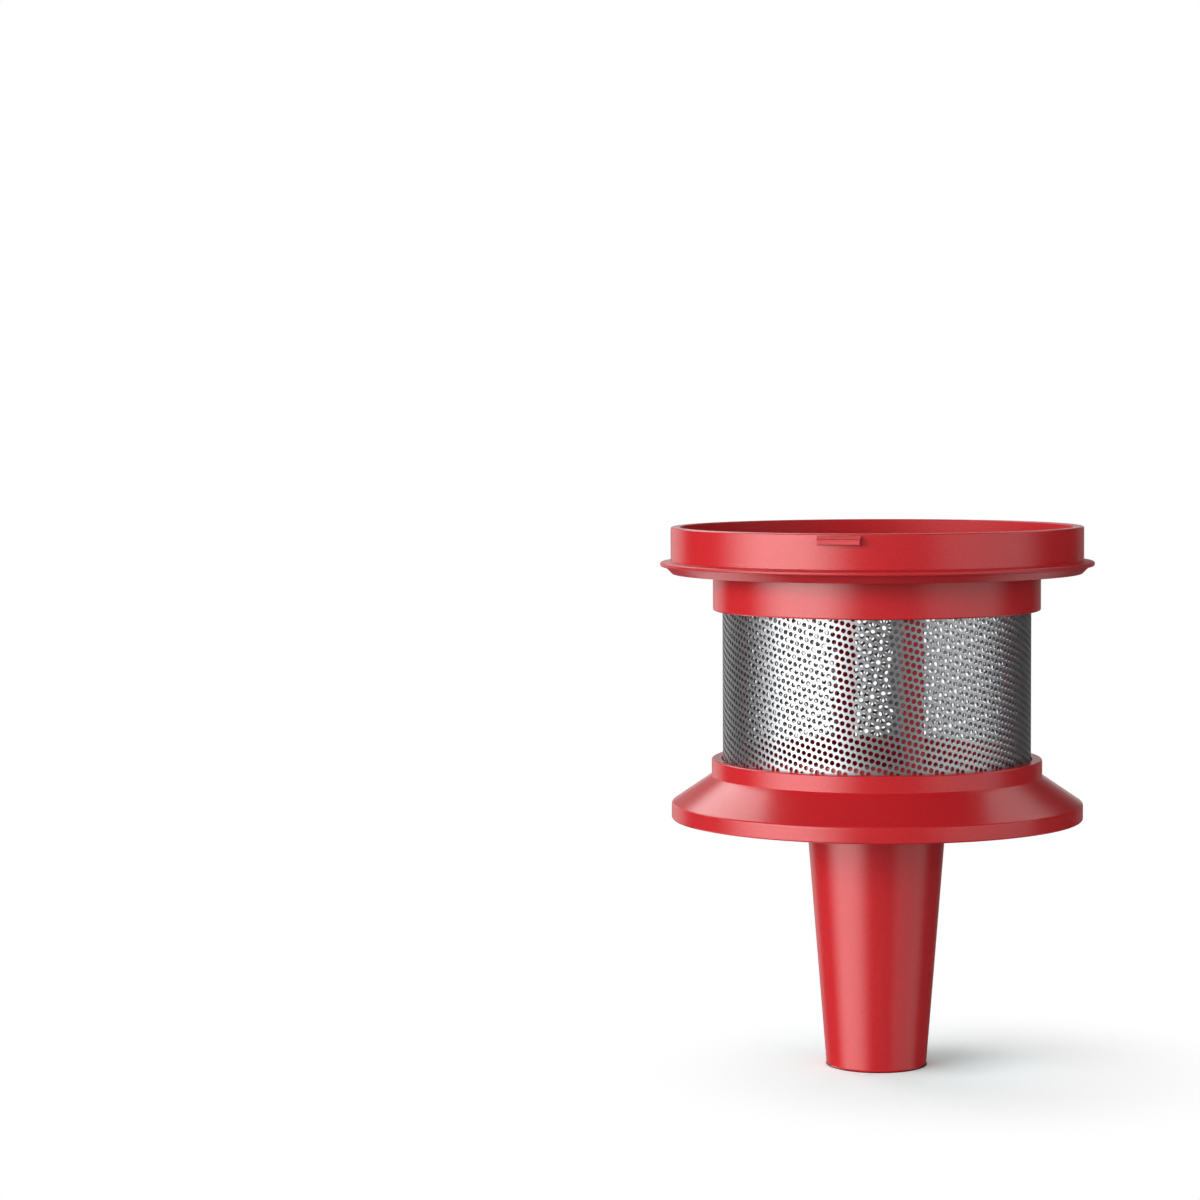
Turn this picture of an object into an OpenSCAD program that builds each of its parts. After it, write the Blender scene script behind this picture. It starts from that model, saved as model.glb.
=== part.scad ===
// Cyclone filter for a bagless vacuum cleaner. It stands on the foot of its dust cone,
// with its axis on Z and the middle of the foot at the origin. Sizes are in millimetres.

/* [Screen] */
// Outer diameter of the rolled perforated sheet
screen_d = 74; // [66:0.5:84]
// Thickness of the sheet
screen_t = 0.5; // [0.4:0.1:0.8]
// Height of the sheet that shows between the neck and the socket
screen_open = 35.8; // [28:0.1:50]
// Length of each end of the sheet that is held in its groove
screen_tuck = 2.5; // [1.5:0.1:4]
// Diameter of one perforation
hole_d = 2.2; // [1.8:0.1:2.6]
// Distance from one perforation to the next
hole_pitch = 3.9; // [3.6:0.1:5]
// Width of the plain band along the welded seam
seam_w = 6; // [4:0.5:10]
// Plain height between the outer rows of perforations and the edges that hold the sheet
row_edge = 1; // [0.5:0.1:2]

/* [Top collar] */
// Outer diameter of the top ring
ring_d = 98.9; // [94:0.1:106]
// Wall thickness of the top ring
ring_wall = 2.5; // [2.2:0.1:3.5]
// Height of the top ring from the underside of its floor to the rim
ring_h = 11.2; // [9:0.1:18]
// Thickness of the floor of the collar
floor_t = 2; // [1.6:0.1:2.4]
// Distance that the floor reaches inwards over the head of the cage
floor_reach = 5.9; // [5:0.1:9]
// Wall thickness of the neck around the screen
neck_wall = 2.2; // [1.8:0.1:3]
// Height of the neck below the floor
neck_h = 8.9; // [7:0.1:14]

/* [Snap lugs] */
// Number of snap lugs on the top ring
lug_count = 2; // [1:1:4]
// Width of a lug along the ring
lug_w = 10; // [6:0.5:16]
// Distance that a lug stands out from the ring
lug_out = 1.5; // [1:0.1:2.2]
// Height of the flat front of a lug
lug_face_h = 1.3; // [1:0.1:2.5]
// Height of the ramp above the flat front
lug_ramp_h = 0.8; // [0.5:0.1:2]

/* [Lip seal] */
// Distance that the lip stands out from the top ring
lip_reach = 2.55; // [1.5:0.05:3.5]
// Thickness of the lip at its tip
lip_t = 0.95; // [0.7:0.05:1.3]
// Height of the whole seal at the foot of the ring
seal_h = 3.1; // [2.8:0.1:4]
// Depth of the rebate that holds the seal
seal_rebate = 1.25; // [0.8:0.05:1.4]

/* [Cage] */
// Number of posts in the cage behind the screen
post_count = 4; // [3:1:8]
// Width of a post
post_w = 4.8; // [4.4:0.1:8]
// Depth of a post towards the axis
post_depth = 4.2; // [4:0.1:6]
// Turn of the first post from the first lug, in degrees
post_turn = 23.4; // [0:0.1:45]
// Height of the lower ring of the cage
cage_foot_h = 5; // [4:0.1:8]
// Wall thickness of the lower ring of the cage
cage_foot_wall = 3; // [2:0.1:4]
// Height of the upper ring of the cage
cage_head_h = 4; // [3:0.1:6]
// Distance that the cage stands deeper in the socket than the screen
cage_step = 1; // [0.5:0.1:2]

/* [Skirt] */
// Outer diameter of the skirt
skirt_d = 98.8; // [90:0.1:106]
// Height of the upright rim of the skirt
skirt_rim_h = 3.8; // [3:0.1:8]
// Height of the sloping part of the skirt
skirt_slope_h = 6.6; // [5:0.1:12]
// Wall thickness of the skirt and of the funnel in it
skirt_wall = 2; // [1.6:0.1:2.4]
// Height of the upright socket that holds the foot of the screen
socket_h = 4; // [3.5:0.1:8]
// Wall thickness of the socket
socket_wall = 2.6; // [2:0.1:3.5]

/* [Dust cone] */
// Height of the underside of the skirt above the foot of the cone
skirt_z = 60.1; // [50:0.1:80]
// Outer diameter of the cone at its foot
foot_d = 24.1; // [22:0.1:28]
// Outer diameter of the cone at the underside of the skirt
throat_d = 33.7; // [31:0.1:38]
// Wall thickness of the cone
cone_wall = 1.8; // [1.5:0.1:2.2]
// Diameter of the bore in the foot that the plug of the bin door closes
plug_d = 20.8; // [18:0.1:21]
// Length of the bore in the foot
plug_depth = 8; // [5:0.5:12]
// Distance from the underside of the skirt down to the top of the cone
throat_drop = 2.5; // [1.5:0.1:3]
// Length of the spigot of the funnel inside the cone
spigot_h = 6; // [4:0.5:10]
// Wall thickness of the spigot
spigot_wall = 1.6; // [1.2:0.1:2]

/* [Screws] */
// Shank diameter of a screw
screw_d = 2.4; // [2:0.1:2.6]
// Length of a screw under its head
screw_l = 10; // [8:0.5:16]
// Diameter of a countersunk screw head
head_d = 4.8; // [4.4:0.1:5.2]
// Depth that a screw head lies below the face of the floor
head_sunk = 0.1; // [0:0.05:0.2]

/* [Fits and edges] */
// Radial clearance between pieces that fit in each other
fit = 0.1; // [0.05:0.05:0.15]
// Radius of the fillets on moulded edges
edge_r = 0.4; // [0.2:0.05:0.6]

/* [Hidden] */
$fn = 128;

// Colours of the moulded plastic, the silicone and the steel
red_plastic = [0.75, 0.17, 0.19];
red_silicone = [0.70, 0.15, 0.17];
steel = [0.78, 0.79, 0.80];

// Side of the axis that the seam of the screen lies on, in degrees from +X
seam_turn = 90;
// Number of straight steps in one rounded corner
arc_steps = 5;
// Length that a cutting tool runs past the face it opens
past = 1;

// Radii of the pieces that stack around the screen, from the outside in
ring_r = ring_d / 2;
cup_r = ring_r - ring_wall;
screen_r = screen_d / 2;
groove_r = screen_r + fit;
neck_r = groove_r + neck_wall;
socket_r = groove_r + socket_wall;
cage_r = screen_r - screen_t - fit;
cage_seat_r = cage_r + fit;
cage_foot_r = cage_r - cage_foot_wall;
passage_r = cage_r - floor_reach;
skirt_r = skirt_d / 2;

// Heights of the levels, from the foot up
slope_z = skirt_z + skirt_rim_h;
socket_z = slope_z + skirt_slope_h;
socket_top = socket_z + socket_h;
neck_z = socket_top + screen_open;
floor_z = neck_z + neck_h;
floor_top = floor_z + floor_t;
rim_z = floor_z + ring_h;
screen_z = socket_top - screen_tuck;
screen_top = neck_z + screen_tuck;
cage_z = screen_z - cage_step;

// The cone widens evenly from the foot to the skirt
cone_slope = (throat_d - foot_d) / 2 / skirt_z;
function cone_r(z) = foot_d / 2 + cone_slope * z;
cone_top = skirt_z - throat_drop;
spigot_r = cone_r(cone_top) - cone_wall - fit;
spigot_foot_r = cone_r(cone_top - spigot_h) - cone_wall - fit;
throat_r = spigot_foot_r - spigot_wall;

// The funnel falls from the foot of the cage to the throat
funnel_slope = (cage_z - cone_top) / (cage_foot_r - throat_r);

// Screws sit in the middle of the depth of the posts
screw_r = cage_r - post_depth / 2;
screw_fit = 0.1;

// Turns a flat vector by an angle
function turned(v, angle) = [v.x * cos(angle) - v.y * sin(angle), v.x * sin(angle) + v.y * cos(angle)];

// Points of the arc that rounds corner p, which lies between a and c, with radius r
function corner_arc(a, p, c, r) =
    let (
        u = (a - p) / norm(a - p),
        v = (c - p) / norm(c - p),
        half = acos(u * v) / 2,
        centre = p + (u + v) / norm(u + v) * r / sin(half),
        start = p + u * r / tan(half) - centre,
        sweep = (180 - 2 * half) * sign(cross(v, u))
    )
    [for (i = [0 : arc_steps]) centre + turned(start, sweep * i / arc_steps)];

// Outline through corners that are each [radius from the axis, height, fillet radius]
function rounded(corners) =
    let (n = len(corners))
    [
        for (i = [0 : n - 1])
            let (
                a = corners[(i + n - 1) % n],
                p = corners[i],
                c = corners[(i + 1) % n]
            )
            each p.z > 0 ? corner_arc([a.x, a.y], [p.x, p.y], [c.x, c.y], p.z) : [[p.x, p.y]]
    ];

// Solid of revolution of a rounded outline
module turned_solid(corners) {
    rotate_extrude() polygon(rounded(corners));
}

// Copies of the children around the axis, the first one turned from -Y
module around(count, turn = 0) {
    for (i = [0 : count - 1])
        rotate(turn - 90 + i * 360 / count) children();
}

// Snap lug: a wedge with a ramp on top and a flat underside, along +X
module lug() {
    face_top = rim_z - edge_r - lug_ramp_h;
    translate([0, lug_w / 2, 0])
        rotate([90, 0, 0])
            linear_extrude(lug_w)
                polygon([
                    [ring_r - ring_wall / 2, face_top - lug_face_h],
                    [ring_r + lug_out, face_top - lug_face_h],
                    [ring_r + lug_out, face_top],
                    [ring_r, face_top + lug_ramp_h],
                    [ring_r - ring_wall / 2, face_top + lug_ramp_h]
                ]);
}

// Top ring, floor and neck, moulded as one, with its snap lugs
module filter_collar() {
    seat_r = ring_r - seal_rebate;
    hole_r = screw_d / 2 + screw_fit;
    sunk_h = head_d / 2 + screw_fit - hole_r;
    color(red_plastic) difference() {
        union() {
            turned_solid([
                [passage_r, floor_top, edge_r],
                [passage_r, floor_z, edge_r],
                [cage_seat_r, floor_z, 0],
                [cage_seat_r, screen_top, 0],
                [groove_r, screen_top, 0],
                [groove_r, neck_z, edge_r],
                [neck_r, neck_z, edge_r],
                [neck_r, floor_z, edge_r],
                [seat_r, floor_z, 0],
                [seat_r, floor_z + seal_h, 0],
                [ring_r, floor_z + seal_h, 0],
                [ring_r, rim_z, edge_r],
                [cup_r, rim_z, edge_r],
                [cup_r, floor_top, edge_r]
            ]);
            around(lug_count) lug();
        }
        around(post_count, post_turn)
            translate([screw_r, 0, 0])
                turned_solid([
                    [0, floor_z - past, 0],
                    [hole_r, floor_z - past, 0],
                    [hole_r, floor_top - sunk_h, 0],
                    [hole_r + sunk_h, floor_top, 0],
                    [hole_r + sunk_h, floor_top + past, 0],
                    [0, floor_top + past, 0]
                ]);
    }
}

// Silicone ring in the rebate at the foot of the top ring, with a thin lip that seals in the bin
module lip_seal() {
    lip_r = ring_r + lip_reach;
    lip_z = floor_z + seal_h - lip_t - 0.35;
    color(red_silicone) turned_solid([
        [ring_r - seal_rebate, floor_z, 0],
        [ring_r - 0.3, floor_z, 0.25],
        [lip_r - 1.2, lip_z - 0.1, 0.3],
        [lip_r, lip_z, 0.42],
        [lip_r, lip_z + lip_t, 0.42],
        [ring_r + 0.2, floor_z + seal_h, 0.3],
        [ring_r - seal_rebate, floor_z + seal_h, 0]
    ]);
}

// Rolled steel sheet with staggered round holes and a plain seam at the back
module screen() {
    per_row = floor((PI * screen_d - seam_w) / hole_pitch);
    seam_angle = seam_w * 360 / (PI * screen_d);
    step = (360 - seam_angle) / per_row;
    // Rows lie as in a lattice of equal triangles, and every second row lacks one hole
    row_h = hole_pitch * sin(60);
    rows = floor((screen_open - hole_d - 2 * row_edge) / row_h) + 1;
    first_z = socket_top + (screen_open - (rows - 1) * row_h) / 2;
    first_turn = seam_turn + (seam_angle + step) / 2;
    color(steel) difference() {
        translate([0, 0, screen_z]) cylinder(r = screen_r, h = screen_top - screen_z);
        translate([0, 0, screen_z - past])
            cylinder(r = screen_r - screen_t, h = screen_top - screen_z + 2 * past);
        for (row = [0 : rows - 1], i = [0 : per_row - 1 - row % 2])
            rotate(first_turn + step * (i + (row % 2) / 2))
                translate([screen_r - screen_t - past, 0, first_z + row * row_h])
                    rotate([0, 90, 0]) cylinder(d = hole_d, h = screen_t + 2 * past, $fn = 24);
    }
}

// Two rings joined by posts, which carry the screen from the inside
module screen_cage() {
    color(red_plastic) difference() {
        union() {
            turned_solid([
                [cage_foot_r, cage_z, 0],
                [cage_r, cage_z, 0],
                [cage_r, cage_z + cage_foot_h, edge_r],
                [cage_foot_r, cage_z + cage_foot_h, edge_r]
            ]);
            turned_solid([
                [cage_r - post_depth, floor_z - cage_head_h, edge_r],
                [cage_r, floor_z - cage_head_h, edge_r],
                [cage_r, floor_z, 0],
                [cage_r - post_depth, floor_z, edge_r]
            ]);
            intersection() {
                around(post_count, post_turn)
                    translate([cage_r - post_depth, -post_w / 2, cage_z + cage_foot_h / 2])
                        cube([post_depth, post_w, floor_z - cage_z - cage_foot_h / 2 - cage_head_h / 2]);
                translate([0, 0, cage_z]) cylinder(r = cage_r, h = floor_z - cage_z);
            }
        }
        around(post_count, post_turn)
            translate([screw_r, 0, floor_z - screw_l])
                cylinder(d = screw_d + 2 * screw_fit, h = screw_l + past, $fn = 32);
    }
}

// Socket for the foot of the screen, the flared skirt around it and the funnel inside it
module skirt() {
    underside = skirt_wall / cos(atan(skirt_slope_h / (skirt_r - socket_r)));
    funnel_under = skirt_wall / cos(atan(funnel_slope));
    seat_r = cone_r(cone_top) + 1;
    inner_slope = skirt_slope_h / (skirt_r - socket_r);
    // Where the undersides of the slope and of the funnel meet
    ridge_r = (slope_z - underside + inner_slope * skirt_r - cone_top + funnel_under
        + funnel_slope * throat_r) / (inner_slope + funnel_slope);
    color(red_plastic) turned_solid([
        [throat_r, cone_top - spigot_h, 0],
        [spigot_foot_r, cone_top - spigot_h, 0],
        [spigot_r, cone_top, 0],
        [seat_r, cone_top, 0],
        [seat_r, cone_top + funnel_slope * (seat_r - throat_r) - funnel_under, 0],
        [ridge_r, cone_top + funnel_slope * (ridge_r - throat_r) - funnel_under, edge_r],
        [skirt_r - skirt_wall, slope_z - underside + inner_slope * skirt_wall, edge_r],
        [skirt_r - skirt_wall, skirt_z, edge_r],
        [skirt_r, skirt_z, edge_r],
        [skirt_r, slope_z, 2 * edge_r],
        [socket_r, socket_z, edge_r],
        [socket_r, socket_top, edge_r],
        [groove_r, socket_top, edge_r],
        [groove_r, screen_z, 0],
        [cage_seat_r, screen_z, 0],
        [cage_seat_r, cage_z, 0],
        [cage_foot_r, cage_z, 0],
        [throat_r, cone_top, edge_r]
    ]);
}

// Tapered tube that collects the fine dust, with a bore for the plug of the bin door
module dust_cone() {
    land_r = plug_d / 2;
    inner_r = cone_r(plug_depth) - cone_wall;
    color(red_plastic) turned_solid([
        [land_r, 0, edge_r],
        [foot_d / 2, 0, edge_r],
        [cone_r(cone_top), cone_top, 0],
        [cone_r(cone_top) - cone_wall, cone_top, 0],
        [inner_r, plug_depth + inner_r - land_r, 0],
        [land_r, plug_depth, 0]
    ]);
}

// Self-tapping screw with a countersunk head and a cross recess, sunk in the floor of the collar
module collar_screw() {
    head_top = floor_top - head_sunk;
    cone_h = (head_d - screw_d) / 2;
    slot_w = head_d / 6;
    difference() {
        turned_solid([
            [0, head_top - screw_l, 0],
            [0, head_top, 0],
            [head_d / 2, head_top, 0],
            [screw_d / 2, head_top - cone_h, 0],
            [screw_d / 2, head_top - screw_l + screw_d / 2, 0]
        ]);
        for (turn = [0, 90])
            rotate(turn)
                translate([-head_d / 3, -slot_w / 2, head_top - cone_h * 2 / 3])
                    cube([head_d * 2 / 3, slot_w, cone_h]);
    }
}

// Screws that hold the cage under the floor of the collar
module collar_screws() {
    color(steel) around(post_count, post_turn)
        translate([screw_r, 0, 0]) collar_screw();
}

filter_collar();
lip_seal();
screen();
screen_cage();
skirt();
dust_cone();
collar_screws();
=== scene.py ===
"""Looks of a cyclone filter for a bagless vacuum cleaner: a red moulded body, a lip seal,
and a rolled sheet of perforated steel. Lengths are in metres, and the axis of the filter is Z."""

import math

import bmesh
import bpy
import numpy as np
from mathutils import Matrix, Vector


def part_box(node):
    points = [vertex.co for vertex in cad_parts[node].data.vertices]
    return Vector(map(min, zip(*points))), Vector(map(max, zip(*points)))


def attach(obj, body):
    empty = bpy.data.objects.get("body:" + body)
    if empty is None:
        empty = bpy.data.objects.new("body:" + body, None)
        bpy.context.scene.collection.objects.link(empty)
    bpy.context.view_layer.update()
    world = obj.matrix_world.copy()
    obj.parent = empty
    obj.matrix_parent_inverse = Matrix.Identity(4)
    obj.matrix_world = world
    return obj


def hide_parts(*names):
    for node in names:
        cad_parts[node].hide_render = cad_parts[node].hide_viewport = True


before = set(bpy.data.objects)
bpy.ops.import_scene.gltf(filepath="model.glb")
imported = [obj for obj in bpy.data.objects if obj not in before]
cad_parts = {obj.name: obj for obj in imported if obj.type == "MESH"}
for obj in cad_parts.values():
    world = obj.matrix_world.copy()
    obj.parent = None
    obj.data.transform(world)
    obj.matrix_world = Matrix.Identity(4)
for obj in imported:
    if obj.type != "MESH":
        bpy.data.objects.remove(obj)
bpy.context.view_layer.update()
scene = bpy.context.scene
scene.view_settings.view_transform = "Standard"

MM = 0.001


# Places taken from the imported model

def reach(node_name):
    """Radius along X, lowest height and highest height of a node."""
    low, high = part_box(node_name)
    return (high.x - low.x) / 2, low.z, high.z


RING_RADIUS, NECK_Z, RIM_Z = reach("filter_collar")
LIP_RADIUS, FLOOR_Z, SEAL_TOP = reach("lip_seal")
SCREEN_RADIUS, SCREEN_FOOT, SCREEN_TOP = reach("screen")
CAGE_RADIUS, CAGE_Z, CAGE_TOP = reach("screen_cage")
SKIRT_RADIUS, SPIGOT_FOOT, SOCKET_TOP = reach("skirt")
CONE_TOP_RADIUS, FOOT_Z, CONE_TOP = reach("dust_cone")


# Walls, clearances and edges of the moulded pieces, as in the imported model

FIT = 0.1 * MM
EDGE = 0.4 * MM
RING_WALL = 2.5 * MM
FLOOR_TOP = FLOOR_Z + 2 * MM
NECK_WALL = 2.2 * MM
PASSAGE_RADIUS = CAGE_RADIUS - 5.9 * MM
SEAL_REBATE = 1.25 * MM
LIP_THICKNESS = 0.95 * MM
LIP_DROP = 1.3 * MM
SOCKET_WALL = 2.6 * MM
SOCKET_HEIGHT = 4 * MM
SKIRT_Z = CONE_TOP + 2.5 * MM
SKIRT_RIM = 3.8 * MM
SKIRT_WALL = 2 * MM
CAGE_FOOT_WALL = 3 * MM
CONE_WALL = 1.8 * MM
FOOT_RADIUS = 12.05 * MM
PLUG_RADIUS = 10.4 * MM
PLUG_DEPTH = 8 * MM
SPIGOT_WALL = 1.6 * MM
LUG_WIDTH = 10 * MM
LUG_OUT = 1.5 * MM
LUG_FACE = 1.3 * MM
LUG_RAMP = 0.8 * MM
LUG_EDGE = 0.15 * MM
SCREW_TURN = math.radians(23.4)
SCREW_CIRCLE = CAGE_RADIUS - 2.1 * MM
SCREW_HOLE = 1.3 * MM
SCREW_SINK = 1.2 * MM
TURN_STEPS = 256
ARC_STEPS = 6


# Perforated sheet, sizes of the real one

SHEET_THICKNESS = 0.5 * MM
HOLE_DIAMETER = 1.2 * MM
HOLE_SIDES = 10
# Steps from one hole to the next along a row, and from one row to the row below it
ALONG_ROW = Vector((1.414, -0.409)) * MM
TO_NEXT_ROW = Vector((0.304, -1.741)) * MM
# Plain bands beside the weld and behind the collars, and the longest reach of one cell
SEAM_WIDTH = 5 * MM
SEAM_GAP = 0.02 * MM
PLAIN_EDGE = 2.2 * MM
CELL_REACH = 1.1 * MM
SEAM_TURN = math.radians(90)


# Small helpers

def around_axis(turn, distance, height):
    """A place at an angle from -Y towards +X, seen from above."""
    return Vector((distance * math.sin(turn), -distance * math.cos(turn), height))


def add_node(tree, kind, place=(0, 0), **settings):
    """Adds a node and sets its properties."""
    node = tree.nodes.new(kind)
    node.location = place
    for key, value in settings.items():
        setattr(node, key, value)
    return node


def join(tree, source, target):
    """Links an output socket to an input socket."""
    tree.links.new(source, target)


def calculate(tree, operation, first, second=None, third=None):
    """Adds a Math node. Each argument is a socket or a number."""
    node = add_node(tree, "ShaderNodeMath", operation=operation)
    for index, value in enumerate((first, second, third)):
        if value is None:
            continue
        if isinstance(value, (int, float)):
            node.inputs[index].default_value = value
        else:
            join(tree, value, node.inputs[index])
    return node.outputs[0]


def new_group(name, kind, inputs, outputs):
    """Makes a node group with named sockets: (name, socket type, default value)."""
    group = bpy.data.node_groups.new(name, kind)
    for socket_name, socket_type, default in inputs:
        socket = group.interface.new_socket(socket_name, in_out="INPUT", socket_type=socket_type)
        if default is not None:
            socket.default_value = default
    for socket_name, socket_type in outputs:
        group.interface.new_socket(socket_name, in_out="OUTPUT", socket_type=socket_type)
    entry = group.nodes.new("NodeGroupInput")
    leave = group.nodes.new("NodeGroupOutput")
    return group, entry, leave


# Materials

def moulded_skin():
    """Node group: the fine uneven gloss and the faint speckle of moulded plastic."""
    group, entry, leave = new_group(
        "Moulded skin", "ShaderNodeTree",
        [("Base Roughness", "NodeSocketFloat", 0.35),
         ("Unevenness", "NodeSocketFloat", 0.04),
         ("Speckle", "NodeSocketFloat", 0.4),
         ("Texture Height", "NodeSocketFloat", 0.02)],
        [("Roughness", "NodeSocketFloat"),
         ("Tone", "NodeSocketFloat"),
         ("Height", "NodeSocketFloat")])
    place = add_node(group, "ShaderNodeTexCoord")
    cloud = add_node(group, "ShaderNodeTexNoise")
    cloud.inputs["Scale"].default_value = 60
    cloud.inputs["Detail"].default_value = 3
    join(group, place.outputs["Object"], cloud.inputs["Vector"])
    grain = add_node(group, "ShaderNodeTexNoise")
    grain.inputs["Scale"].default_value = 2600
    grain.inputs["Detail"].default_value = 1
    join(group, place.outputs["Object"], grain.inputs["Vector"])
    centred = calculate(group, "SUBTRACT", cloud.outputs["Fac"], 0.5)
    swing = calculate(group, "MULTIPLY", centred, entry.outputs["Unevenness"])
    rough = calculate(group, "ADD", entry.outputs["Base Roughness"], swing)
    join(group, rough, leave.inputs["Roughness"])
    either_way = calculate(group, "SUBTRACT", grain.outputs["Fac"], 0.5)
    tone = calculate(group, "MULTIPLY_ADD", either_way, entry.outputs["Speckle"], 1)
    join(group, tone, leave.inputs["Tone"])
    height = calculate(group, "MULTIPLY", grain.outputs["Fac"], entry.outputs["Texture Height"])
    join(group, height, leave.inputs["Height"])
    return group


def facing_the_axis():
    """Node group: 1 on the inside of a turned piece, 0 on its outside."""
    tree, given, leave = new_group(
        "Facing the axis", "ShaderNodeTree",
        [("Normal", "NodeSocketVector", (0, 0, 1)),
         ("Place", "NodeSocketVector", (1, 0, 0))],
        [("Inside", "NodeSocketFloat")])
    level = add_node(tree, "ShaderNodeVectorMath", operation="MULTIPLY")
    level.inputs[1].default_value = (1, 1, 0)
    join(tree, given.outputs["Place"], level.inputs[0])
    outwards = add_node(tree, "ShaderNodeVectorMath", operation="NORMALIZE")
    join(tree, level.outputs["Vector"], outwards.inputs[0])
    turn = add_node(tree, "ShaderNodeVectorMath", operation="DOT_PRODUCT")
    join(tree, outwards.outputs["Vector"], turn.inputs[0])
    join(tree, given.outputs["Normal"], turn.inputs[1])
    inside = add_node(tree, "ShaderNodeMapRange", interpolation_type="SMOOTHSTEP")
    inside.inputs["From Min"].default_value = -0.2
    inside.inputs["From Max"].default_value = -0.7
    join(tree, turn.outputs["Value"], inside.inputs["Value"])
    join(tree, inside.outputs["Result"], leave.inputs["Inside"])
    return tree


def painted_inside_shade(tree, place, colour, inside_shade_level, inside_shade_and_finish):
    """Gives a colour darkened on the inside with painted shade, and the mask of the inside."""
    inside = add_node(tree, "ShaderNodeGroup", node_tree=inside_shade_and_finish)
    join(tree, place.outputs["Normal"], inside.inputs["Normal"])
    join(tree, place.outputs["Object"], inside.inputs["Place"])
    tone = add_node(tree, "ShaderNodeMix", data_type="RGBA")
    tone.inputs["A"].default_value = (*colour, 1)
    # Painted shade: the inside takes the colour scaled by the inside shade level
    tone.inputs["B"].default_value = (*(inside_shade_level * level for level in colour), 1)
    join(tree, inside.outputs["Inside"], tone.inputs["Factor"])
    return tone.outputs["Result"], inside.outputs["Inside"]


def plastic(name, colour, roughness, skin, texture_height, inside_shade_and_finish):
    """Moulded plastic or silicone with the shared skin, duller on the inside and darkened there with painted
    shade.
    """
    material = bpy.data.materials.new(name)
    material.use_nodes = True
    tree = material.node_tree
    shader = tree.nodes["Principled BSDF"]
    shader.inputs["IOR"].default_value = 1.5
    place = add_node(tree, "ShaderNodeTexCoord")
    # Painted shade on the inside of the moulded pieces
    tone, inside = painted_inside_shade(tree, place, colour, PLASTIC_INSIDE_SHADE, inside_shade_and_finish)
    surface = add_node(tree, "ShaderNodeGroup", node_tree=skin)
    surface.inputs["Texture Height"].default_value = texture_height
    duller = calculate(tree, "MULTIPLY_ADD", inside, INSIDE_DULLNESS, roughness)
    join(tree, duller, surface.inputs["Base Roughness"])
    gloss = calculate(tree, "MULTIPLY_ADD", inside, -INSIDE_GLOSS_LOSS, 0.5)
    join(tree, gloss, shader.inputs["Specular IOR Level"])
    speckled = add_node(tree, "ShaderNodeVectorMath", operation="SCALE")
    join(tree, tone, speckled.inputs[0])
    join(tree, surface.outputs["Tone"], speckled.inputs["Scale"])
    join(tree, speckled.outputs["Vector"], shader.inputs["Base Color"])
    bump = add_node(tree, "ShaderNodeBump")
    bump.inputs["Distance"].default_value = 0.003 * MM
    join(tree, surface.outputs["Roughness"], shader.inputs["Roughness"])
    join(tree, surface.outputs["Height"], bump.inputs["Height"])
    join(tree, bump.outputs["Normal"], shader.inputs["Normal"])
    return material


def steel(name, colour, roughness, inside_shade_and_finish):
    """Bright rolled steel with faint rolling streaks round the sheet and painted shade on its inside."""
    material = bpy.data.materials.new(name)
    material.use_nodes = True
    tree = material.node_tree
    shader = tree.nodes["Principled BSDF"]
    shader.inputs["Metallic"].default_value = 0.85
    place = add_node(tree, "ShaderNodeTexCoord")
    # Painted shade on the inside of the sheet, which shows through the holes
    tone, _ = painted_inside_shade(tree, place, colour, STEEL_INSIDE_SHADE, inside_shade_and_finish)
    join(tree, tone, shader.inputs["Base Color"])
    stretch = add_node(tree, "ShaderNodeMapping")
    stretch.inputs["Scale"].default_value = (1, 1, 14)
    streaks = add_node(tree, "ShaderNodeTexNoise")
    streaks.inputs["Scale"].default_value = 120
    streaks.inputs["Detail"].default_value = 4
    join(tree, place.outputs["Object"], stretch.inputs["Vector"])
    join(tree, stretch.outputs["Vector"], streaks.inputs["Vector"])
    swing = calculate(tree, "MULTIPLY_ADD", streaks.outputs["Fac"], 0.1, roughness - 0.05)
    join(tree, swing, shader.inputs["Roughness"])
    return material


# The inside of the pieces is duller than the outside, and darker with painted shade.
PLASTIC_INSIDE_SHADE = 0.8
STEEL_INSIDE_SHADE = 0.6
INSIDE_DULLNESS = 0.25
INSIDE_GLOSS_LOSS = 0.25

skin = moulded_skin()
# Mask of the inside, for its painted shade and its duller finish
inside_shade_and_finish = facing_the_axis()
red_plastic = plastic("Red plastic", (0.55, 0.016, 0.021), 0.25, skin, 1.0, inside_shade_and_finish)
red_silicone = plastic("Red silicone", (0.50, 0.016, 0.021), 0.36, skin, 1.5, inside_shade_and_finish)
screen_steel = steel("Screen steel", (0.32, 0.33, 0.34), 0.36, inside_shade_and_finish)
screw_steel = steel("Screw steel", (0.75, 0.75, 0.74), 0.3, inside_shade_and_finish)


# Perforated screen

def lattice_step(tree, size, columns, rows):
    """Node chain: the place that is so many holes along and so many rows down."""
    places = []
    for name, count in (("Along Row", columns), ("To Next Row", rows)):
        step = add_node(tree, "ShaderNodeVectorMath", operation="SCALE")
        join(tree, size[name], step.inputs[0])
        if isinstance(count, (int, float)):
            step.inputs["Scale"].default_value = count
        else:
            join(tree, count, step.inputs["Scale"])
        places.append(step.outputs[0])
    total = add_node(tree, "ShaderNodeVectorMath", operation="ADD")
    join(tree, places[0], total.inputs[0])
    join(tree, places[1], total.inputs[1])
    return total.outputs[0]


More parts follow.
